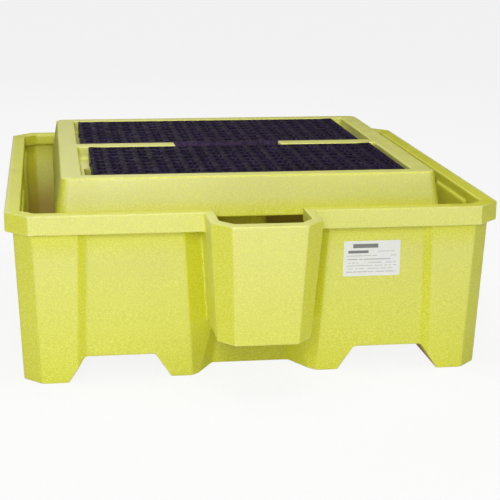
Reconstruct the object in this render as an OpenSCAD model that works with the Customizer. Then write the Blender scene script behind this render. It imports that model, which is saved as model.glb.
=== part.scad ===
// Spill containment pallet: a drafted one-piece sump with a dispensing well,
// a lift-out platform on six hollow legs, two lift-out grates and a stuck-on label.
// Millimetres. The origin is on the floor under the centre of the square rim:
// +X to the right, +Y to the back, +Z up. The well is at the front, towards -Y.

/* [Sump] */
// Width and depth of the square rim, outside
sump_w = 1760; // [1700:10:2200]
// Height of the rim above the floor
rim_h = 620; // [520:10:760]
// Wall thickness of the moulded pieces
wall = 9; // [6:0.5:11]
// Corner chamfer of the rim, along each side
corner_cut = 80; // [60:5:110]
// How far each side of the body slopes in from under the rim to the floor
body_draft = 24; // [4:2:40]

/* [Rim] */
// Width of the rim's flat top
rim_flat = 55; // [50:1:70]
// Height of the skirt that hangs outside the rim
skirt_h = 70; // [55:5:90]
// How far the rim stands out past the body
rim_overhang = 26; // [22:1:30]
// Height of the band inside the rim, down to the ledge of the wall panels
band_h = 40; // [30:2:50]

/* [Wall panels] */
// How far a panel is set in from the corner posts
panel_inset = 28; // [16:1:36]
// Width of a corner post under the rim, from the body's side face
post_w = 222; // [190:2:260]
// Width of the sloped strip between a post and a panel
strip_w = 32; // [20:1:50]
// How much a panel widens at each edge from the rim to the floor
panel_flare = 10; // [0:1:20]
// Half the width of the middle post of the sides and the back
mid_post_half = 236; // [180:2:280]

/* [Dispensing well] */
// How far the well stands out past the rim
well_reach = 232; // [180:2:280]
// Width of the well at the rim
well_w = 390; // [340:2:430]
// Width of the well at its underside
well_low_w = 330; // [280:2:360]
// Height of the well's underside above the floor
well_z = 190; // [160:2:240]
// How far the well's front slopes in from the rim to its underside
well_draft = 47; // [10:1:70]
// Width of each front corner cut of the well at the rim
well_cut = 67; // [40:1:80]
// Width of each front corner cut of the well at its underside
well_low_cut = 55; // [30:1:70]
// Width of the well's flat lip at the sides
lip_side = 35; // [25:1:45]
// Width of the well's flat lip at the front
lip_front = 52; // [30:1:60]
// Half the width between the front panels at the rim, beside the well
throat_half = 262; // [250:2:290]
// Half the width between the front panels at the floor
throat_low_half = 228; // [222:2:250]
// Half the width of the recess under the well, at the front of the floor
notch_half = 209; // [190:1:215]
// How far back the recess under the well reaches, from the panel face
notch_depth = 133; // [90:1:160]

/* [Fork pockets] */
// Distance between the centres of the two fork pockets
fork_spacing = 978; // [960:2:1040]
// Width of a fork pocket at its roof
fork_w = 250; // [205:5:300]
// How much wider a fork pocket is at the floor, on each side
fork_flare = 58; // [20:2:70]
// Height of a fork pocket
fork_h = 88; // [70:1:110]

/* [Platform] */
// Clear space between the rim's inner edge and the platform, all round
platform_gap = 120; // [110:2:150]
// Height of the deck above the rim
deck_rise = 90; // [60:2:120]
// Height of the platform's side
platform_h = 148; // [110:2:180]
// How far the platform's side slopes in towards the deck
platform_draft = 22; // [8:1:30]
// Radius of the platform's upright corners
platform_r = 38; // [25:1:60]
// Width of the deck's border at the left and right of the grates
border_x = 77; // [60:1:90]
// Width of the deck's border at the front and back of the grates
border_y = 63; // [50:1:80]
// Depth of the grate recesses
recess_depth = 50; // [35:1:60]
// Width of the tongues between the two grate recesses
tongue_w = 74; // [50:1:100]
// Width of the open gap between the ends of the tongues
finger_w = 430; // [250:5:600]

/* [Platform legs] */
// Width of a leg at the level of the sump's floor
leg_w = 158; // [130:2:190]
// How much a leg widens per metre of height, on each side
leg_draft = 42; // [10:1:60]
// Diameter of the drain holes in the recess floors
drain_d = 60; // [30:2:80]

/* [Grates] */
// Spacing of the grate openings from left to right
pitch_x = 57; // [48:1:70]
// Spacing of the grate openings from front to back
pitch_y = 68; // [56:1:80]
// Width of a grate opening
slot_w = 34; // [24:1:40]
// Length of a grate opening, from front to back
slot_l = 44; // [30:1:50]
// Corner cut of a grate opening
slot_cut = 10; // [4:1:12]
// Corner radius of a grate
grate_r = 12; // [5:1:25]
// How far the front grate lies right of the middle
front_shift = 10; // [-14:1:14]
// How far the rear grate lies right of the middle
rear_shift = -14; // [-14:1:14]

/* [Fits] */
// Gap that keeps resting pieces apart
rest_gap = 0.3; // [0.2:0.1:1]
// Play at each end of a grate in its recess
grate_play_x = 31; // [24:1:40]
// Play at the front and back of a grate in its recess
grate_play_y = 5.5; // [2:0.5:12]

/* [Label] */
// Width of the label
label_w = 210; // [120:2:240]
// Height of the label
label_h = 134; // [80:2:160]
// Distance of the label's centre right of the middle
label_x = 417; // [400:1:440]
// Height of the label's centre above the floor
label_z = 424; // [380:2:440]

/* [Hidden] */

yellow = [0.82, 0.83, 0.2];
black = [0.09, 0.08, 0.12];
white = [0.94, 0.94, 0.96];

past = 1;                                   // how far a cut runs past a face
reach = 60;                                 // how far a wall recess is drawn outside the body
rim_half = sump_w/2;
band_half = rim_half - rim_flat;            // inner edge of the rim
body_half = rim_half - rim_overhang;        // body, just under the rim
body_top = rim_h - band_h;
skirt_z = rim_h - skirt_h;
panel_half = body_half - post_w - strip_w;  // outer edge of a panel under the rim

strip_run = strip_w/panel_inset;            // sideways run of a strip per unit of depth
strip_grow = sqrt(1 + strip_run*strip_run); // sideways shift per unit of growth
well_front = rim_half + well_reach;
well_back = band_half - 125;                // where the well's solid ends, inside the sump
cut_slope = 1.2;                            // depth of a well corner cut over its width
cut_diag = sqrt(1 + cut_slope*cut_slope);

notch_front = 13;                           // notch_half is measured this far behind the panel face
notch_run = 0.56;                           // sideways run of the notch's sides per unit of depth
notch_grow = sqrt(1 + notch_run*notch_run);
notch_out = 100;                            // how far the notch is drawn in front of the panels
// Height and narrowing of the notch's side, up to its rounded roof
notch_arch = [[-past, 0], [well_z - 40, 20], [well_z - 18, 29], [well_z - 5, 42], [well_z, 56]];

fork_x = fork_spacing/2;
fork_grow = sqrt(1 + pow(fork_flare/fork_h, 2));

deck_z = rim_h + deck_rise;
platform_z = deck_z - platform_h;           // lower edge of the platform's side
platform_half = band_half - platform_gap;   // at that lower edge
deck_half = platform_half - platform_draft;
recess_z = deck_z - recess_depth;
recess_half_x = deck_half - border_x;
recess_half_y = deck_half - border_y;
recess_mid_y = (recess_half_y + tongue_w/2)/2;
recess_len = recess_half_y - tongue_w/2;

grate_w = 2*(recess_half_x - grate_play_x);
grate_l = recess_len - 2*grate_play_y;
grate_t = recess_depth - rest_gap;
grate_edge = 5;                             // least border outside the openings' pitch cells
nub_out = 6;                                // locating nub on each end of a grate
nub_w = 24;
nub_t = 11;
nub_drop = 12;                              // from the grate's top to the nub

label_t = 0.4;
label_gap = 0.05;

// Half-width of the body's outside at height z
function face(z) = body_half - body_draft*(1 - z/body_top);

// Square of the given half-width with its corners cut, anticlockwise
function cut_square(h, c) = [
  [h, c - h], [h, h - c], [h - c, h], [c - h, h],
  [-h, h - c], [-h, c - h], [c - h, -h], [h - c, -h]];

// Square of the given half-width with round corners, anticlockwise
function round_square(h, r, steps = 8) = [
  for (q = [0:3], i = [0:steps])
    let (a = 90*q + 90*i/steps, s = h - r, b = 90*q + 45)
      [s*sqrt(2)*cos(b) + r*cos(a), s*sqrt(2)*sin(b) + r*sin(a)]];

// Leg of a corner cut after its outline moves in by t
function moved_cut(c, t) = c - t*(2 - sqrt(2));

// Closed solid through sections [z, outline], lowest first
module loft(sections) {
  n = len(sections[0][1]);
  m = len(sections);
  points = [for (s = sections, p = s[1]) [p[0], p[1], s[0]]];
  sides = [for (k = [0:m - 2], i = [0:n - 1])
    [k*n + i, (k + 1)*n + i, (k + 1)*n + (i + 1)%n, k*n + (i + 1)%n]];
  polyhedron(points, concat([[for (i = [0:n - 1]) i]], sides,
    [[for (i = [n - 1:-1:0]) (m - 1)*n + i]]), convexity = 6);
}

// Outline of a wall recess on the front wall at height z, from x0 to x1, grown by t
function recess_outline(z, x0, x1, t) =
  let (out = panel_inset + reach,
       inner = face(z) - panel_inset - t,
       outer = face(z) + reach,
       grow = strip_grow*t)
    [[x0 - grow - strip_run*out, -outer], [x1 + grow + strip_run*out, -outer],
     [x1 + grow - strip_run*t, -inner], [x0 - grow + strip_run*t, -inner]];

module wall_recess(x0, x1, flare0, t) {
  z0 = -past;
  z1 = body_top + past;
  loft([[z0, recess_outline(z0, x0 - flare0, x1 + panel_flare, t)],
        [z1, recess_outline(z1, x0, x1, t)]]);
}

// Outline of the recess between the front panels, whose sides run in at 45 degrees
function throat_outline(z, t) =
  let (half = throat_low_half + (throat_half - throat_low_half)*z/body_top,
       depth = half - well_low_w/2 + 8,
       plane = face(z) - panel_inset,
       side = half + sqrt(2)*t)
    [[-side - reach, -plane - reach], [side + reach, -plane - reach],
     [side - depth - t, -plane + depth + t], [-side + depth + t, -plane + depth + t]];

module throat(t) {
  z0 = -past;
  z1 = body_top + past;
  loft([[z0, throat_outline(z0, t)], [z1, throat_outline(z1, t)]]);
}

// Recess under the well
function notch_outline(narrow, t) =
  let (plane = face(0) - panel_inset,
       half = notch_half - narrow + notch_grow*t,
       front = plane + notch_out,
       back = plane - notch_depth - t,
       run = notch_run*(notch_out + notch_front),
       fall = notch_run*(notch_depth + t - notch_front))
    [[-half - run, -front], [half + run, -front], [half - fall, -back], [-half + fall, -back]];

module notch(t) {
  loft([for (a = notch_arch) [a[0] + (a[0] > 0 ? t : 0), notch_outline(a[1], t)]]);
}

// Both fork pockets, front to back
module fork_pockets(t) {
  low = fork_w/2 + fork_flare + fork_grow*t;
  drop = fork_flare*past/fork_h;
  top = low - fork_flare*(fork_h + t)/fork_h;
  for (side = [-1, 1])
    translate([side*fork_x, sump_w/2, 0])
      rotate([90, 0, 0])
        linear_extrude(sump_w)
          polygon([[-low - drop, -past], [low + drop, -past], [top, fork_h + t], [-top, fork_h + t]]);
}

// The body without the rim and the well, moved in by t and closed at z_top
module body_form(t, z_top) {
  cut = moved_cut(corner_cut, rim_overhang + t);
  difference() {
    loft([[t, cut_square(face(t) - t, cut)], [z_top, cut_square(face(z_top) - t, cut)]]);
    wall_recess(-panel_half, panel_half, panel_flare, t);
    for (turn = [90, 180, 270], side = [0, 1])
      rotate([0, 0, turn])
        mirror([side, 0, 0])
          wall_recess(mid_post_half, panel_half, panel_flare, t);
    throat(t);
    notch(t);
    fork_pockets(t);
  }
}

// Outline of the well, moved in by side and front; narrow is the loss of half-width
function well_outline(half, front, cut) = [
  [-half, -front + cut_slope*cut], [-half + cut, -front], [half - cut, -front],
  [half, -front + cut_slope*cut], [half, -well_back], [-half, -well_back]];

// The well's solid from its underside to z_top, moved in by t
module well_form(t, z_top) {
  k = (z_top - well_z)/(rim_h - well_z);
  shrink = t*(1 + cut_slope - cut_diag)/cut_slope;
  half = well_low_w/2 + k*(well_w - well_low_w)/2 - t;
  front = well_front - (1 - k)*well_draft - t;
  cut = well_low_cut + k*(well_cut - well_low_cut) - shrink;
  low = t/(rim_h - well_z);
  loft([[well_z + t, well_outline(well_low_w/2 + low*(well_w - well_low_w)/2 - t,
                                  well_front - (1 - low)*well_draft - t,
                                  well_low_cut + low*(well_cut - well_low_cut) - shrink)],
        [z_top, well_outline(half, front, cut)]]);
}

// Upright prism inside the well's lip, grown by t
module lip_opening(t, z0, z1) {
  half = well_w/2 - lip_side + t;
  front = well_front - lip_front + t;
  cut = well_cut - 19 + t*(1 + cut_slope - cut_diag)/cut_slope;
  translate([0, 0, z0])
    linear_extrude(z1 - z0)
      polygon(well_outline(half, front, cut));
}

module rim_prism(half, cut, z0, z1) {
  translate([0, 0, z0])
    linear_extrude(z1 - z0)
      polygon(cut_square(half, cut));
}

// Sump: body, rolled rim and dispensing well in one moulding
module sump() {
  band_cut = moved_cut(corner_cut, rim_flat);
  ledge_z = body_top - wall;
  flange_z = rim_h - wall;
  color(yellow)
    difference() {
      union() {
        body_form(0, body_top);
        well_form(0, rim_h);
        rim_prism(band_half + wall, moved_cut(corner_cut, rim_flat - wall), ledge_z, rim_h);
        rim_prism(rim_half, corner_cut, flange_z, rim_h);
        difference() {
          rim_prism(rim_half, corner_cut, skirt_z, rim_h);
          rim_prism(rim_half - wall, moved_cut(corner_cut, wall), skirt_z - past, rim_h + past);
        }
      }
      body_form(wall, ledge_z);
      intersection() {
        body_form(wall, body_top + past);
        rim_prism(band_half, band_cut, ledge_z - past, body_top + past);
      }
      rim_prism(band_half, band_cut, body_top, rim_h + past);
      difference() {
        well_form(wall, flange_z);
        difference() {
          lip_opening(wall, ledge_z, rim_h);
          rim_prism(band_half, band_cut, ledge_z - past, rim_h + past);
        }
      }
      lip_opening(0, ledge_z - past, rim_h + past);
    }
}

// Half-width of a leg at height z
function leg_half(z) = leg_w/2 + leg_draft*z/1000;

module leg(z_foot, t, z_top) {
  corner = 24 - t;
  z0 = z_foot + t;
  loft([[z0, round_square(leg_half(z0) - t, corner, 3)],
        [z_top, round_square(leg_half(z_top) - t, corner, 3)]]);
}

module legs(t, z_top) {
  for (x = [-fork_x, 0, fork_x], y = [-recess_mid_y, recess_mid_y])
    translate([x, y, 0])
      leg(wall + rest_gap + (x == 0 ? 0 : fork_h), t, z_top);
}

// Both grate recesses and the finger gap between them, grown by t
module recesses(t, z0, z1) {
  translate([0, 0, z0])
    linear_extrude(z1 - z0) {
      for (side = [-1, 1])
        translate([-recess_half_x - t, side*recess_mid_y - recess_len/2 - t])
          square([2*(recess_half_x + t), recess_len + 2*t]);
      translate([-finger_w/2 - t, -tongue_w/2])
        square([finger_w + 2*t, tongue_w]);
    }
}

// Platform: deck, drafted side, recesses and legs in one moulding
module platform() {
  inner_r = platform_r - wall;
  drain_y = recess_len/2 - 70;
  skin_half = deck_half + platform_draft*wall/platform_h - wall;
  color(yellow)
    difference() {
      union() {
        difference() {
          loft([[platform_z, round_square(platform_half, platform_r)],
                [deck_z, round_square(deck_half, platform_r)]]);
          loft([[platform_z - past, round_square(platform_half - wall, inner_r)],
                [deck_z - wall, round_square(skin_half, inner_r)]]);
        }
        recesses(wall, recess_z - wall, deck_z - wall/2);
        legs(0, recess_z - wall/2);
      }
      recesses(0, recess_z, deck_z + past);
      legs(wall, recess_z + past);
      for (x = [-fork_x/2, fork_x/2], side = [-1, 1], y = [-drain_y, 0, drain_y])
        translate([x, side*recess_mid_y + y, recess_z - wall - past])
          cylinder(h = wall + 2*past, d = drain_d, $fn = 48);
    }
}

// Outline of a grate with round corners
module grate_outline() {
  inset_w = grate_w - 2*grate_r;
  inset_l = grate_l - 2*grate_r;
  square([grate_w, inset_l], center = true);
  square([inset_w, grate_l], center = true);
  for (x = [-1, 1], y = [-1, 1])
    translate([x*inset_w/2, y*inset_l/2])
      circle(r = grate_r, $fn = 32);
}

module slot() {
  w = slot_w/2;
  l = slot_l/2;
  c = slot_cut;
  polygon([[w, c - l], [w, l - c], [w - c, l], [c - w, l],
           [-w, l - c], [-w, c - l], [c - w, -l], [w - c, -l]]);
}

// One grate, lying in its recess
module grate(shift, y) {
  columns = floor((grate_w - 2*grate_edge)/pitch_x);
  rows = floor((grate_l - 2*grate_edge)/pitch_y);
  translate([shift, y, recess_z + rest_gap]) {
    linear_extrude(grate_t)
      difference() {
        grate_outline();
        for (i = [0:columns - 1], j = [0:rows - 1])
          translate([(i - (columns - 1)/2)*pitch_x, (j - (rows - 1)/2)*pitch_y])
            slot();
      }
    for (side = [-1, 1])
      translate([side*grate_w/2 - nub_out, -nub_w/2, grate_t - nub_drop - nub_t])
        cube([2*nub_out, nub_w, nub_t]);
  }
}

module grate_front() {
  color(black) grate(front_shift, -recess_mid_y);
}

module grate_rear() {
  color(black) grate(rear_shift, recess_mid_y);
}

// Label on the front panel, right of the well
module label() {
  lean = atan(body_draft/body_top);
  color(white)
    translate([label_x, panel_inset - face(label_z), label_z])
      rotate([lean, 0, 0])
        translate([-label_w/2, -label_gap - label_t, -label_h/2])
          cube([label_w, label_t, label_h]);
}

sump();
platform();
grate_front();
grate_rear();
label();
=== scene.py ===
"""Spill containment pallet: the looks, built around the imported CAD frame.

Metres, +Z up, origin on the floor under the centre of the square rim; the dispensing well points to -Y.
"""
import math

import bmesh
import bpy
from mathutils import Matrix, Vector


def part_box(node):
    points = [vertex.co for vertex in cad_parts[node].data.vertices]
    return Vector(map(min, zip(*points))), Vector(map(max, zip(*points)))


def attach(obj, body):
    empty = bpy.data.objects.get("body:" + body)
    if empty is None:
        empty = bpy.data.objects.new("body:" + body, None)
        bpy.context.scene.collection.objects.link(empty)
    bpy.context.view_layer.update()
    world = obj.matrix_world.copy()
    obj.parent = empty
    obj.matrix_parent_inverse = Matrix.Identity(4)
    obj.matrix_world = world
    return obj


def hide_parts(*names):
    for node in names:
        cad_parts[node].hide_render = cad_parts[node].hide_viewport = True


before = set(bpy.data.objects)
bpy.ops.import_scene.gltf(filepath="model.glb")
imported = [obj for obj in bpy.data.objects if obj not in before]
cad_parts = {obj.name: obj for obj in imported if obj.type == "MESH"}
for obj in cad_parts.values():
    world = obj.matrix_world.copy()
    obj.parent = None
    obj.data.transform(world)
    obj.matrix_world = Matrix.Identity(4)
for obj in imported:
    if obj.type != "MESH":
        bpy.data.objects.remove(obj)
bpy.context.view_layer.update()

MM = 0.001
YELLOW = "yellow_polyethylene"
BLACK = "black_polyethylene"
VINYL = "label_vinyl"


# ---------------------------------------------------------------- camera, light and floor

CAMERA_AT = Vector((-0.7223, -5.4096, 1.6487))
CAMERA_YAW = math.radians(8.623)      # turned right from +Y
CAMERA_PITCH = math.radians(14.281)   # looking down
CAMERA_ROLL = math.radians(0.543)
CAMERA_LENS = 97.42                   # mm
CAMERA_SENSOR = 36                    # mm across
CAMERA_REACH = 60

LIT_POINT = (0, -0.2, 0.4)            # where every lamp is aimed
COOL_WHITE = (0.98, 0.99, 1.0)
WARM_WHITE = (1.0, 1.0, 0.97)
WORLD_LIGHT = 0.01                    # strength of the surroundings as light
WORLD_SEEN = 0.93                     # their strength as the backdrop

# Name, azimuth and elevation in degrees, distance, size, watts and colour of each lamp
SOFTBOXES = [("key", 10, 20, 6.0, (1.8, 1.8), 126, COOL_WHITE),
             ("left", 60, 8, 6.0, (1.8, 1.8), 33, COOL_WHITE),
             ("overhead", 10, 80, 5.0, (4.0, 4.0), 146, WARM_WHITE),
             ("back", 165, 35, 7.0, (5.0, 3.0), 85, WARM_WHITE),
             ("right", -50, 25, 7.0, (4.0, 3.0), 62, WARM_WHITE)]

FLOOR_HALF = 30
FLOOR_DROP = 0.5 * MM                 # keeps the floor clear of the feet
FLOOR_WHITE = (0.9, 0.9, 0.9, 1)
FLOOR_GLOW = 0.88                     # share of its own light, which only the camera sees


def add_camera():
    ahead = Vector((math.sin(CAMERA_YAW) * math.cos(CAMERA_PITCH),
                    math.cos(CAMERA_YAW) * math.cos(CAMERA_PITCH),
                    -math.sin(CAMERA_PITCH)))
    level = Vector((math.cos(CAMERA_YAW), -math.sin(CAMERA_YAW), 0))
    above = level.cross(ahead)
    right = level * math.cos(CAMERA_ROLL) + above * math.sin(CAMERA_ROLL)
    up = above * math.cos(CAMERA_ROLL) - level * math.sin(CAMERA_ROLL)
    turn = Matrix((right, up, -ahead)).transposed().to_4x4()
    data = bpy.data.cameras.new("camera")
    data.lens = CAMERA_LENS
    data.sensor_width = CAMERA_SENSOR
    data.clip_end = CAMERA_REACH
    camera = bpy.data.objects.new("camera", data)
    camera.matrix_world = Matrix.Translation(CAMERA_AT) @ turn
    bpy.context.scene.collection.objects.link(camera)
    bpy.context.scene.camera = camera


def add_softbox(name, azimuth, elevation, distance, size, power, colour):
    """Area light aimed at the lit point; azimuth is measured from -Y towards -X."""
    turn, rise = math.radians(azimuth), math.radians(elevation)
    away = Vector((-math.sin(turn) * math.cos(rise), -math.cos(turn) * math.cos(rise), math.sin(rise)))
    data = bpy.data.lights.new(name, "AREA")
    data.shape = "RECTANGLE"
    data.size, data.size_y = size
    data.energy = power
    data.color = colour
    lamp = bpy.data.objects.new(name, data)
    lamp.location = Vector(LIT_POINT) + away * distance
    lamp.rotation_euler = away.to_track_quat("Z", "Y").to_euler()
    bpy.context.scene.collection.objects.link(lamp)


def add_lights():
    bpy.context.scene.view_settings.view_transform = "Standard"
    for softbox in SOFTBOXES:
        add_softbox(*softbox)
    world = bpy.data.worlds.new("studio")
    world.use_nodes = True
    tree = world.node_tree
    background = tree.nodes["Background"]
    background.inputs["Color"].default_value = (1, 1, 1, 1)
    sight = add(tree, "LightPath").outputs["Is Camera Ray"]
    strength = ramp(tree, sight, 0.0, 1.0, WORLD_LIGHT, WORLD_SEEN)
    tree.links.new(strength, background.inputs["Strength"])
    bpy.context.scene.world = world


def add_floor():
    bm = bmesh.new()
    bmesh.ops.create_grid(bm, x_segments=1, y_segments=1, size=FLOOR_HALF)
    bmesh.ops.translate(bm, verts=bm.verts, vec=(0, 0, -FLOOR_DROP))
    floor = new_object("floor", bm)
    material = bpy.data.materials.new("floor_white")
    material.use_nodes = True
    tree = material.node_tree
    shader = tree.nodes["Principled BSDF"]
    shader.inputs["Base Color"].default_value = FLOOR_WHITE
    shader.inputs["Roughness"].default_value = 0.8
    glow = add(tree, "Emission", {"Color": (1, 1, 1, 1)})
    sight = add(tree, "LightPath")
    share = math_node(tree, "MULTIPLY", sight.outputs["Is Camera Ray"], FLOOR_GLOW)
    paper = add(tree, "MixShader", {0: share, 1: shader.outputs[0], 2: glow.outputs[0]})
    tree.links.new(paper.outputs[0], tree.nodes["Material Output"].inputs["Surface"])
    floor.data.materials.append(material)


# ---------------------------------------------------------------- mesh helpers

SKIN_WELD = 0.02 * MM     # points of a CAD node this close are one point
SKIN_STEP = 4 * MM        # spacing of the points of a moulded skin, under half its wall
MELT_SHARE = 0.5          # strength of each smoothing pass that rounds its edges
MELT_PASSES = 8
SKIN_TRIANGLES = 170000


def new_object(name, bm):
    """Object named name from a bmesh, which is used up."""
    mesh = bpy.data.meshes.new(name)
    bm.to_mesh(mesh)
    bm.free()
    thing = bpy.data.objects.new(name, mesh)
    bpy.context.scene.collection.objects.link(thing)
    return thing


def take_modifiers(thing):
    """Take what the modifiers of thing make of it into its mesh."""
    shaped = thing.evaluated_get(bpy.context.evaluated_depsgraph_get())
    mesh = bpy.data.meshes.new_from_object(shaped)
    thing.modifiers.clear()
    thing.data = mesh


def moulded_skin(name, node):
    """Piece in the form of a CAD node, with edges and corners rounded as a rotating mould leaves them."""
    bm = bmesh.new()
    bm.from_mesh(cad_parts[node].data)
    bmesh.ops.remove_doubles(bm, verts=bm.verts, dist=SKIN_WELD)
    skin = new_object(name, bm)
    remesh = skin.modifiers.new("even_points", "REMESH")
    remesh.mode = "VOXEL"
    remesh.voxel_size = SKIN_STEP
    remesh.use_smooth_shade = True
    melt = skin.modifiers.new("melted_edges", "SMOOTH")
    melt.factor = MELT_SHARE
    melt.iterations = MELT_PASSES
    take_modifiers(skin)
    triangles = 2 * len(skin.data.polygons)    # the even points make quads
    thin = skin.modifiers.new("thinned", "DECIMATE")
    thin.ratio = SKIN_TRIANGLES / triangles
    take_modifiers(skin)
    return skin


def smooth_faces(thing, sharp):
    """Smooth shading, apart from edges over sharp degrees."""
    for face in thing.data.polygons:
        face.use_smooth = True
    thing.data.set_sharp_from_angle(angle=math.radians(sharp))


def label_middle():
    low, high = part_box("label")
    return (Vector(low) + Vector(high)) / 2


def finish_piece(piece, body, slot, material, *nodes):
    piece.data.materials.clear()
    piece.data.materials.append(material)
    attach(piece, body)
    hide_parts(*nodes)


# ---------------------------------------------------------------- node helpers

def add(tree, kind, inputs=None, **settings):
    """New shader node; each input is a value or the output socket that feeds it."""
    made = tree.nodes.new("ShaderNode" + kind)
    for name, value in settings.items():
        setattr(made, name, value)
    for name, value in (inputs or {}).items():
        if isinstance(value, bpy.types.NodeSocket):
            tree.links.new(value, made.inputs[name])
        else:
            made.inputs[name].default_value = value
    return made


def new_group(name, takes, gives):
    """Empty node group with its sockets; returns the tree, what it takes and what it gives."""
    tree = bpy.data.node_groups.new(name, "ShaderNodeTree")
    for label, kind in takes:
        tree.interface.new_socket(label, in_out="INPUT", socket_type="NodeSocket" + kind)
    for label, kind in gives:
        tree.interface.new_socket(label, in_out="OUTPUT", socket_type="NodeSocket" + kind)
    entry = tree.nodes.new("NodeGroupInput")
    leave = tree.nodes.new("NodeGroupOutput")
    return tree, entry.outputs, leave.inputs


def noise(tree, coordinates, scale, detail=2.0, roughness=0.5):
    made = add(tree, "TexNoise", {"Vector": coordinates, "Scale": scale, "Detail": detail,
                                  "Roughness": roughness})
    return made.outputs["Fac"]


def ramp(tree, value, low, high, to_low=0.0, to_high=1.0):
    """Smooth step of value from low to high."""
    made = add(tree, "MapRange", {"Value": value, "From Min": low, "From Max": high,
                                  "To Min": to_low, "To Max": to_high}, interpolation_type="SMOOTHSTEP")
    return made.outputs["Result"]


def math_node(tree, operation, first, second):
    return add(tree, "Math", {0: first, 1: second}, operation=operation).outputs[0]


def mix_colours(tree, share, first, second):
    made = add(tree, "Mix", data_type="RGBA")
    for socket, value in ((made.inputs[0], share), (made.inputs[6], first), (made.inputs[7], second)):
        if isinstance(value, bpy.types.NodeSocket):
            tree.links.new(value, socket)
        else:
            socket.default_value = value
    return made.outputs[2]


# ---------------------------------------------------------------- effects that materials share

# Bands over which an effect goes from none to full
DEEP_BAND = (0.2, 0.8)            # depth that turns the tone deep
GRAIN_BAND = (0.42, 0.66)         # fine noise that shows as pale grain
EDGE_BREAK_BAND = (0.35, 0.6)           # coarse noise that leaves edge wear and painted edge highlight whole
SQUARE_BAND = (0.80, 0.96)        # largest part of the normal of a face square to an axis
INWARD_BAND = (0.15, -0.25)       # how far a face looks away from the middle

LEAST_EDGE_MARK = 0.35                 # wear that is left in the gaps
SHADE_EDGE_PATCHES = 5.0                # noise scale along the upper edge of the painted shade
SHADE_EDGE_WANDER = 0.06                # how far that edge wanders up and down
SPECK_PATCHES = 3.0               # noise scale of the patches that have specks
SPECKED_ABOVE = 0.56


def orange_peel_group():
    """Height of a moulded surface: fine grain over a slow swell."""
    tree, takes, gives = new_group("orange_peel", [("Coordinates", "Vector"), ("Grain Scale", "Float"),
                                                   ("Swell Scale", "Float"), ("Swell Share", "Float")],
                                   [("Height", "Float")])
    grain = noise(tree, takes["Coordinates"], takes["Grain Scale"], detail=3.0, roughness=0.6)
    swell = noise(tree, takes["Coordinates"], takes["Swell Scale"])
    part = math_node(tree, "MULTIPLY", swell, takes["Swell Share"])
    tree.links.new(math_node(tree, "ADD", grain, part), gives["Height"])
    return tree


def pigment_and_painted_shade_group():
    """Colour of a moulding: a deep tone that pales with height in slow drifts, and fine pale grains;
    where the heights span much, the paling upwards is painted light and the deep tone below is painted
    shade.
    """
    tree, takes, gives = new_group("pigment_and_painted_shade", [("Coordinates", "Vector"), ("Tone", "Color"),
                                               ("Deep Tone", "Color"), ("Pale Tone", "Color"),
                                               ("Deep Below", "Float"), ("Drift Scale", "Float"),
                                               ("Grain Scale", "Float"), ("Grain Share", "Float")],
                                   [("Color", "Color")])
    height = add(tree, "SeparateXYZ", {"Vector": takes["Coordinates"]}).outputs["Z"]
    rise = math_node(tree, "SUBTRACT", height, takes["Deep Below"])
    drift = noise(tree, takes["Coordinates"], takes["Drift Scale"], detail=3.0)
    depth = math_node(tree, "SUBTRACT", drift, rise)
    body = mix_colours(tree, ramp(tree, depth, *DEEP_BAND), takes["Tone"], takes["Deep Tone"])
    grain = noise(tree, takes["Coordinates"], takes["Grain Scale"], roughness=0.7)
    share = math_node(tree, "MULTIPLY", ramp(tree, grain, *GRAIN_BAND), takes["Grain Share"])
    tree.links.new(mix_colours(tree, share, body, takes["Pale Tone"]), gives["Color"])
    return tree


def edge_wear_and_highlight_group():
    """Mask of edge wear and painted edge highlights: where the surface is most convex, broken up by a
    coarse grain.
    """
    tree, takes, gives = new_group("edge_wear_and_highlight", [("Coordinates", "Vector"), ("From", "Float"),
                                                 ("To", "Float"), ("Break Scale", "Float")],
                                   [("Mask", "Float")])
    shape = add(tree, "NewGeometry")
    edge = add(tree, "MapRange", {"Value": shape.outputs["Pointiness"], "From Min": takes["From"],
                                  "From Max": takes["To"]})
    coarse = noise(tree, takes["Coordinates"], takes["Break Scale"], detail=4.0)
    left = ramp(tree, coarse, *EDGE_BREAK_BAND, LEAST_EDGE_MARK, 1.0)
    tree.links.new(math_node(tree, "MULTIPLY", edge.outputs["Result"], left), gives["Mask"])
    return tree


def larger_of(tree, vector):
    """The larger of a vector's sizes along X and Y, and its size along Z."""
    sizes = add(tree, "VectorMath", {0: vector}, operation="ABSOLUTE")
    parts = add(tree, "SeparateXYZ", {"Vector": sizes.outputs[0]}).outputs
    return math_node(tree, "MAXIMUM", parts["X"], parts["Y"]), parts["Z"]


def painted_sheen_and_shade_group():
    """Mask of a painted pale sheen that stands in for light: on faces square to an axis, more with
    height.

    It fades out between two heights, within a square that an overhanging edge covers: painted shade under
    the overhang.
    """
    tree, takes, gives = new_group("painted_sheen_and_shade", [("Coordinates", "Vector"), ("Low Share", "Float"),
                                            ("High Share", "Float"), ("Top", "Float"),
                                            ("Fade From", "Float"), ("Fade To", "Float"),
                                            ("Shade Half", "Float")], [("Mask", "Float")])
    level, upright = larger_of(tree, add(tree, "NewGeometry").outputs["Normal"])
    square = ramp(tree, math_node(tree, "MAXIMUM", level, upright), *SQUARE_BAND)
    out, height = larger_of(tree, takes["Coordinates"])
    share = add(tree, "MapRange", {"Value": height, "From Min": 0.0, "From Max": takes["Top"],
                                   "To Min": takes["Low Share"], "To Max": takes["High Share"]})
    fade = ramp(tree, height, takes["Fade From"], takes["Fade To"])
    shade_zone = math_node(tree, "MULTIPLY", fade,
                        math_node(tree, "LESS_THAN", out, takes["Shade Half"]))
    open_share = math_node(tree, "MULTIPLY", share.outputs["Result"],
                           math_node(tree, "SUBTRACT", 1.0, shade_zone))
    tree.links.new(math_node(tree, "MULTIPLY", square, open_share), gives["Mask"])
    return tree


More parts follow.
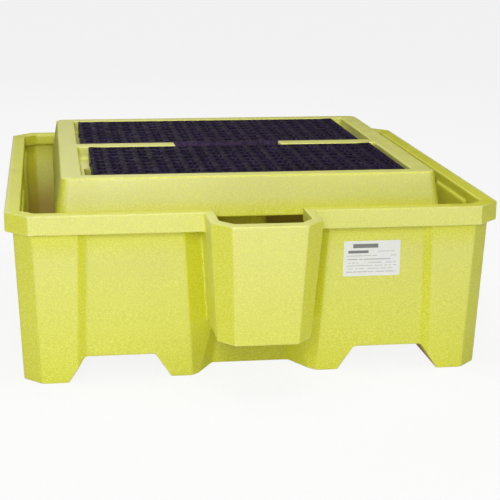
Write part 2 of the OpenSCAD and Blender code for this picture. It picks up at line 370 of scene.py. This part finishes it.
def inner_painted_shade_group():
    """Mask of painted shade inside the sump, a brownish darkening, more with depth.

    It lies on faces that look inwards, or on all of them where Every Face is 1.
    """
    tree, takes, gives = new_group("inner_painted_shade", [("Coordinates", "Vector"), ("Unshaded Above", "Float"),
                                               ("Full Below", "Float"), ("Every Face", "Float")],
                                   [("Mask", "Float")])
    flat = add(tree, "VectorMath", {0: takes["Coordinates"], 1: (1, 1, 0)}, operation="MULTIPLY")
    outward = add(tree, "VectorMath", {0: flat.outputs[0]}, operation="NORMALIZE")
    facing = add(tree, "VectorMath", {0: outward.outputs[0],
                                      1: add(tree, "NewGeometry").outputs["Normal"]},
                 operation="DOT_PRODUCT")
    inside = math_node(tree, "MAXIMUM", ramp(tree, facing.outputs["Value"], *INWARD_BAND),
                       takes["Every Face"])
    height = add(tree, "SeparateXYZ", {"Vector": takes["Coordinates"]}).outputs["Z"]
    patches = noise(tree, takes["Coordinates"], SHADE_EDGE_PATCHES, detail=4.0)
    wander = ramp(tree, patches, 0.2, 0.8, -SHADE_EDGE_WANDER, SHADE_EDGE_WANDER)
    depth = add(tree, "MapRange", {"Value": math_node(tree, "ADD", height, wander),
                                   "From Min": takes["Unshaded Above"], "From Max": takes["Full Below"]})
    tree.links.new(math_node(tree, "MULTIPLY", inside, depth.outputs["Result"]), gives["Mask"])
    return tree


def speck_group():
    """Mask of small scattered specks, each a few millimetres wide."""
    tree, takes, gives = new_group("specks", [("Coordinates", "Vector"), ("Scale", "Float"),
                                              ("Size", "Float")], [("Mask", "Float")])
    cells = add(tree, "TexVoronoi", {"Vector": takes["Coordinates"], "Scale": takes["Scale"]})
    spot = math_node(tree, "LESS_THAN", cells.outputs["Distance"], takes["Size"])
    patches = noise(tree, takes["Coordinates"], SPECK_PATCHES)
    specked = math_node(tree, "GREATER_THAN", patches, SPECKED_ABOVE)
    tree.links.new(math_node(tree, "MULTIPLY", spot, specked), gives["Mask"])
    return tree


def print_bar_group():
    """Mask of one printed bar on the label, from its centre and half its size."""
    tree, takes, gives = new_group("print_bar", [("Coordinates", "Vector"), ("Centre X", "Float"),
                                                 ("Centre Z", "Float"), ("Half Width", "Float"),
                                                 ("Half Height", "Float")], [("Mask", "Float")])
    spot = add(tree, "SeparateXYZ", {"Vector": takes["Coordinates"]}).outputs
    across = add(tree, "Math", {0: spot["X"], 1: takes["Centre X"], 2: takes["Half Width"]},
                 operation="COMPARE")
    up = add(tree, "Math", {0: spot["Z"], 1: takes["Centre Z"], 2: takes["Half Height"]},
             operation="COMPARE")
    tree.links.new(math_node(tree, "MULTIPLY", across.outputs[0], up.outputs[0]), gives["Mask"])
    return tree


orange_peel = orange_peel_group()
pigment_and_painted_shade = pigment_and_painted_shade_group()
edge_wear_and_highlight = edge_wear_and_highlight_group()
painted_sheen_and_shade = painted_sheen_and_shade_group()
inner_painted_shade = inner_painted_shade_group()
specks = speck_group()
print_bar = print_bar_group()


# ---------------------------------------------------------------- materials

YELLOW_TONE = (0.78, 0.785, 0.02, 1)
# deep tone of the lower parts: painted shade towards the bottom
YELLOW_DEEP = (0.765, 0.775, 0.002, 1)
YELLOW_GRAIN = (0.95, 0.94, 0.18, 1)
YELLOW_RUBBED_HIGHLIGHT = (0.95, 0.94, 0.55, 1)
YELLOW_WEAR_AND_HIGHLIGHT = 0.6                     # strength of the edge wear and painted edge highlight
PAINTED_SHEEN = (0.84, 0.83, 0.29, 1)         # colour of the painted sheen, a painted highlight
# colour of the painted shade inside the sump
PAINTED_SHADE_BROWN = (0.60, 0.34, 0.09, 1)
PAINTED_SHADE_SHARE = 0.6
SPECK_PALE = (0.95, 0.95, 0.75, 1)

BLACK_TONE = (0.004, 0.003, 0.004, 1)
BLACK_DEEP = (0.010, 0.006, 0.022, 1)
BLACK_GRAIN = (0.045, 0.028, 0.040, 1)
# pale purple on convex edges: edge wear and painted highlight
BLACK_RUBBED_GLINT = (0.17, 0.11, 0.22, 1)
BLACK_WEAR_AND_GLINT = 0.45
BLACK_GLINT = (0.5, 0.36, 1.0, 1)     # tint of its highlights
TREAD_BAND = (0.5, 0.95)              # how far a face looks up, from no tread to all tread
TREAD_ROUGHNESS = 0.4                 # what treading adds

SHEET_WHITE = (0.95, 0.96, 0.98, 1)
SHEET_BRIGHT = (0.97, 0.97, 0.99, 1)
PRINT_GREY = (0.12, 0.12, 0.13, 1)
LINE_INK = 0.45                       # strength of the small print
HEAD_INK = 0.86                       # strength of the headings


def new_material(name):
    """Material with its tree, its shader and its Object coordinates."""
    material = bpy.data.materials.new(name)
    material.use_nodes = True
    tree = material.node_tree
    return material, tree, tree.nodes["Principled BSDF"], add(tree, "TexCoord").outputs["Object"]


def apply_group(tree, group, inputs):
    return add(tree, "Group", inputs, node_tree=group).outputs[0]


def uneven_gloss(tree, spot, scale, detail, band, roughness):
    """Roughness that drifts in patches from its first value to its second."""
    return ramp(tree, noise(tree, spot, scale, detail), *band, *roughness)


def moulded_grain(tree, shader, spot, grain, swell, swell_share, strength, depth):
    """Bump of a moulded surface; grain and swell are the scales of its fine and slow parts."""
    height = apply_group(tree, orange_peel, {"Coordinates": spot, "Grain Scale": grain,
                                             "Swell Scale": swell, "Swell Share": swell_share})
    bump = add(tree, "Bump", {"Height": height, "Strength": strength, "Distance": depth})
    tree.links.new(bump.outputs[0], shader.inputs["Normal"])


def yellow_polyethylene(name, shade_zone, unshaded_above, full_below, every_face):
    """Yellow moulding with painted light and shade; shade_zone is where its painted sheen fades from and
    to, and the half width it fades in, as painted shade under an overhang.
    """
    material, tree, shader, spot = new_material(name)
    # Paler on faces square to an axis and higher up: painted light; faded under overhangs: painted shade.
    painted_sheen_share = apply_group(tree, painted_sheen_and_shade, {"Coordinates": spot, "Low Share": 0.05, "High Share": 0.85,
                                     "Top": 0.68, "Fade From": shade_zone[0], "Fade To": shade_zone[1],
                                     "Shade Half": shade_zone[2]})
    # Deep Below puts the deep tone on the lower parts: painted shade towards the bottom, and painted
    # light paling it upwards.
    body = apply_group(tree, pigment_and_painted_shade, {"Coordinates": spot,
                                       "Tone": mix_colours(tree, painted_sheen_share, YELLOW_TONE, PAINTED_SHEEN),
                                       "Deep Tone": mix_colours(tree, painted_sheen_share, YELLOW_DEEP, PAINTED_SHEEN),
                                       "Pale Tone": YELLOW_GRAIN, "Deep Below": 0.35,
                                       "Drift Scale": 2.6, "Grain Scale": 210.0, "Grain Share": 0.8})
    # Paler convex edges: edge wear and painted highlight.
    wear_and_highlight = apply_group(tree, edge_wear_and_highlight, {"Coordinates": spot, "From": 0.51, "To": 0.56,
                                         "Break Scale": 30.0})
    rubbed_and_highlit = mix_colours(tree, math_node(tree, "MULTIPLY", wear_and_highlight, YELLOW_WEAR_AND_HIGHLIGHT), body, YELLOW_RUBBED_HIGHLIGHT)
    # Brownish darkening inside the sump: painted shade.
    inner_shade = apply_group(tree, inner_painted_shade, {"Coordinates": spot, "Unshaded Above": unshaded_above,
                                       "Full Below": full_below, "Every Face": every_face})
    with_painted_shade = mix_colours(tree, math_node(tree, "MULTIPLY", inner_shade, PAINTED_SHADE_SHARE), rubbed_and_highlit, PAINTED_SHADE_BROWN)
    dots = apply_group(tree, specks, {"Coordinates": spot, "Scale": 22.0, "Size": 0.045})
    tree.links.new(mix_colours(tree, dots, with_painted_shade, SPECK_PALE), shader.inputs["Base Color"])
    shader.inputs["Specular IOR Level"].default_value = 0.9
    gloss = uneven_gloss(tree, spot, scale=14.0, detail=4.0, band=(0.3, 0.7), roughness=(0.36, 0.50))
    tree.links.new(gloss, shader.inputs["Roughness"])
    moulded_grain(tree, shader, spot, grain=170.0, swell=28.0, swell_share=1.6, strength=0.8,
                  depth=0.5 * MM)
    return material


def black_polyethylene():
    """Black moulding with a purplish gloss, matt on the treads."""
    material, tree, shader, spot = new_material("black_moulded")
    body = apply_group(tree, pigment_and_painted_shade, {"Coordinates": spot, "Tone": BLACK_TONE,
                                       "Deep Tone": BLACK_DEEP, "Pale Tone": BLACK_GRAIN,
                                       "Deep Below": 0.7, "Drift Scale": 6.0, "Grain Scale": 120.0,
                                       "Grain Share": 0.5})
    # Pale purple on convex edges: edge wear and painted highlight.
    wear_and_highlight = apply_group(tree, edge_wear_and_highlight, {"Coordinates": spot, "From": 0.51, "To": 0.6,
                                         "Break Scale": 60.0})
    rubbed_and_highlit = mix_colours(tree, math_node(tree, "MULTIPLY", wear_and_highlight, BLACK_WEAR_AND_GLINT), body, BLACK_RUBBED_GLINT)
    tree.links.new(rubbed_and_highlit, shader.inputs["Base Color"])
    shader.inputs["Specular IOR Level"].default_value = 0.28
    shader.inputs["Specular Tint"].default_value = BLACK_GLINT
    up = add(tree, "SeparateXYZ", {"Vector": add(tree, "NewGeometry").outputs["Normal"]}).outputs["Z"]
    tread = ramp(tree, up, *TREAD_BAND, 0.0, TREAD_ROUGHNESS)
    gloss = uneven_gloss(tree, spot, scale=40.0, detail=4.0, band=(0.35, 0.65), roughness=(0.22, 0.55))
    tree.links.new(math_node(tree, "ADD", gloss, tread), shader.inputs["Roughness"])
    moulded_grain(tree, shader, spot, grain=260.0, swell=60.0, swell_share=1.0, strength=0.8,
                  depth=0.8 * MM)
    return material


# Print of the label, in mm from its centre: middle across, middle up, width, height
LABEL_HEADS = [(-24, 47, 92, 15), (-50, 25, 74, 10)]
LABEL_LINES = [(52, 26, 62, 2.4), (0, 10, 184, 2.6), (-4, -3, 172, 4), (2, -16, 176, 2.6),
               (0, -27, 184, 2.6), (-6, -38, 164, 2.6), (0, -50, 186, 3.4)]

# Steps across, in depth and up within which the small print keeps one value
PRINT_STEPS = (0.5 * MM, 1, 11 * MM)


def label_mask(tree, spot, bars):
    """Mask of all the bars."""
    middle = label_middle()
    whole = None
    for across, up, wide, high in bars:
        bar = apply_group(tree, print_bar, {"Coordinates": spot, "Centre X": middle.x + across * MM,
                                            "Centre Z": middle.z + up * MM,
                                            "Half Width": wide / 2 * MM,
                                            "Half Height": high / 2 * MM})
        whole = bar if whole is None else math_node(tree, "MAXIMUM", whole, bar)
    return whole


def label_vinyl():
    """White sheet with plain grey bars for print, and gaps in the lines where words would part."""
    material, tree, shader, spot = new_material("printed_vinyl")
    rows = add(tree, "VectorMath", {0: spot, 1: PRINT_STEPS}, operation="SNAP").outputs[0]
    gaps = ramp(tree, noise(tree, rows, scale=90.0, detail=0.0), 0.37, 0.40)
    lines = math_node(tree, "MULTIPLY", label_mask(tree, spot, LABEL_LINES), gaps)
    heads = label_mask(tree, spot, LABEL_HEADS)
    ink = math_node(tree, "MAXIMUM", math_node(tree, "MULTIPLY", lines, LINE_INK),
                    math_node(tree, "MULTIPLY", heads, HEAD_INK))
    clouds = ramp(tree, noise(tree, spot, scale=9.0), 0.3, 0.7)
    sheet = mix_colours(tree, clouds, SHEET_WHITE, SHEET_BRIGHT)
    tree.links.new(mix_colours(tree, ink, sheet, PRINT_GREY), shader.inputs["Base Color"])
    gloss = uneven_gloss(tree, spot, scale=30.0, detail=3.0, band=(0.3, 0.7), roughness=(0.28, 0.42))
    tree.links.new(gloss, shader.inputs["Roughness"])
    moulded_grain(tree, shader, spot, grain=120.0, swell=18.0, swell_share=2.0, strength=0.15,
                  depth=0.3 * MM)
    return material


# ---------------------------------------------------------------- pieces

# Heights that the painted sheen fades from and to, and the half width that it fades in: painted shade
# under an overhang
SUMP_SHADE_ZONE = (0.44, 0.55, 0.866)      # under the rim's skirt
PLATFORM_SHADE_ZONE = (0.64, 0.58, 0.90)   # below the deck

PAINTED_SHADE_TOP = 0.46                         # height of the upper edge of the painted shade
SUMP_SHADE_FULL = 0.28                   # height under which the sump has the painted shade in full
LEG_SHADE_FULL = 0.38                    # the same for the platform


def build_shells():
    """The two yellow mouldings; the platform's legs stand inside the sump, so they have its painted shade
    all round.
    """
    sump_yellow = yellow_polyethylene("yellow_sump", SUMP_SHADE_ZONE, PAINTED_SHADE_TOP, SUMP_SHADE_FULL,
                                      every_face=0.0)
    finish_piece(moulded_skin("sump_shell", "sump"), "sump", YELLOW, sump_yellow, "sump")
    deck_yellow = yellow_polyethylene("yellow_platform", PLATFORM_SHADE_ZONE, PAINTED_SHADE_TOP, LEG_SHADE_FULL,
                                      every_face=1.0)
    finish_piece(moulded_skin("platform_deck", "platform"), "platform", YELLOW, deck_yellow, "platform")


COLUMNS, ROWS = 20, 8             # openings of a grate
PITCH = (57 * MM, 68 * MM)        # their spacing across and from front to back
BAR_HALF = 11.75 * MM             # half the width of the bars between them
OPENING_CUT = 10 * MM             # corner cut of an opening
BAR_CROWN = 3 * MM                # how far a bar's edges lie under its middle
BAR_ROUND = 8.5 * MM              # radius along the top of each opening
GRATE_CORNER = 12 * MM
NUB = (12 * MM, 24 * MM, 11 * MM)
NUB_DROP = 12 * MM                # from the grate's top to the nub
NUB_OUT = 6 * MM
NEAR = MM                         # points this close to an edge of the grate are on it
BAR_POINTS = 8                    # most corners of a bar's face; an opening's has more
RIM_TURN = 1                      # radians; the faces along the top's rims turn more than this
GRATE_SHARP = 40                  # degrees; a harder edge than this stays sharp


def build_grate(name, node, material):
    """Lattice of crowned bars round rows of openings, with a locating nub on each end."""
    low, high = (Vector(corner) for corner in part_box(node))
    middle = (low + high) / 2
    half = (high - low) / 2
    half.x -= NUB_OUT
    bm = bmesh.new()
    bmesh.ops.create_grid(bm, x_segments=COLUMNS, y_segments=ROWS, size=0.5)
    grid = Vector((COLUMNS * PITCH[0], ROWS * PITCH[1], 1))
    bmesh.ops.scale(bm, verts=bm.verts, vec=grid)
    rim = [vert for vert in bm.verts if vert.is_boundary]
    openings = bm.faces[:]
    bmesh.ops.inset_individual(bm, faces=openings, thickness=BAR_HALF, use_even_offset=True)
    corners = {vert for face in openings for vert in face.verts}
    for vert in rim:
        if abs(abs(vert.co.x) - grid.x / 2) < NEAR:
            vert.co.x = math.copysign(half.x, vert.co.x)
        if abs(abs(vert.co.y) - grid.y / 2) < NEAR:
            vert.co.y = math.copysign(half.y, vert.co.y)
    bmesh.ops.bevel(bm, geom=list(corners), offset=OPENING_CUT, offset_type="OFFSET", segments=2,
                    profile=0.5, affect="VERTICES", material=-1)
    openings = [face for face in bm.faces if len(face.verts) > BAR_POINTS]
    bmesh.ops.delete(bm, geom=openings, context="FACES_ONLY")
    corners = [vert for vert in bm.verts
               if abs(vert.co.x) > half.x - NEAR and abs(vert.co.y) > half.y - NEAR]
    bmesh.ops.bevel(bm, geom=corners, offset=GRATE_CORNER, offset_type="OFFSET", segments=3, profile=0.5,
                    affect="VERTICES", material=-1)
    raised = bmesh.ops.extrude_face_region(bm, geom=bm.faces[:], use_keep_orig=True)["geom"]
    top = [part for part in raised if isinstance(part, bmesh.types.BMVert)]
    bmesh.ops.translate(bm, verts=top, vec=(0, 0, 2 * half.z))
    bmesh.ops.recalc_face_normals(bm, faces=bm.faces)
    rims = [edge for edge in bm.edges if edge.calc_face_angle(0) > RIM_TURN
            and all(vert.co.z > half.z for vert in edge.verts)]
    edge_points = {vert for edge in rims for vert in edge.verts}
    bmesh.ops.translate(bm, verts=list(edge_points), vec=(0, 0, -BAR_CROWN))
    bmesh.ops.bevel(bm, geom=rims, offset=BAR_ROUND, offset_type="OFFSET", segments=2, profile=0.5,
                    affect="EDGES", clamp_overlap=True, material=-1)
    for side in (-1, 1):
        nub = bmesh.ops.create_cube(bm, size=1)["verts"]
        bmesh.ops.scale(bm, verts=nub, vec=NUB)
        bmesh.ops.translate(bm, verts=nub, vec=(side * half.x, 0, 2 * half.z - NUB_DROP - NUB[2] / 2))
    bmesh.ops.translate(bm, verts=bm.verts, vec=(middle.x, middle.y, low.z))
    grate = new_object(name, bm)
    smooth_faces(grate, GRATE_SHARP)
    finish_piece(grate, node, BLACK, material, node)


LABEL_THICK = 0.3 * MM
LABEL_CORNER = 4 * MM
LABEL_MARGIN = MM                 # of its CAD box that the sheet leaves free on each side
WALL_DRAFT, WALL_HEIGHT = 24 * MM, 580 * MM
PANEL_LEAN = math.atan(WALL_DRAFT / WALL_HEIGHT)    # of the wall behind the label


def build_label(material):
    """Thin sheet with round corners, leaning with the wall that it is stuck to."""
    low, high = (Vector(corner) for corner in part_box("label"))
    bm = bmesh.new()
    bmesh.ops.create_grid(bm, x_segments=1, y_segments=1, size=0.5)
    width = high.x - low.x - 2 * LABEL_MARGIN
    height = (high.z - low.z) / math.cos(PANEL_LEAN) - 2 * LABEL_MARGIN
    bmesh.ops.scale(bm, verts=bm.verts, vec=(width, height, 1))
    bmesh.ops.bevel(bm, geom=bm.verts[:], offset=LABEL_CORNER, offset_type="OFFSET", segments=4,
                    profile=0.5, affect="VERTICES", material=-1)
    raised = bmesh.ops.extrude_face_region(bm, geom=bm.faces[:], use_keep_orig=True)["geom"]
    front = [part for part in raised if isinstance(part, bmesh.types.BMVert)]
    bmesh.ops.translate(bm, verts=front, vec=(0, 0, LABEL_THICK))
    bmesh.ops.recalc_face_normals(bm, faces=bm.faces)
    stand = Matrix.Rotation(PANEL_LEAN, 4, "X") @ Matrix.Rotation(math.radians(90), 4, "X")
    bmesh.ops.transform(bm, verts=bm.verts, matrix=Matrix.Translation(label_middle()) @ stand)
    finish_piece(new_object("label_sheet", bm), "sump", VINYL, material, "label")


add_camera()
add_lights()
add_floor()
build_shells()
black = black_polyethylene()
build_grate("front_grating", "grate_front", black)
build_grate("rear_grating", "grate_rear", black)
build_label(label_vinyl())
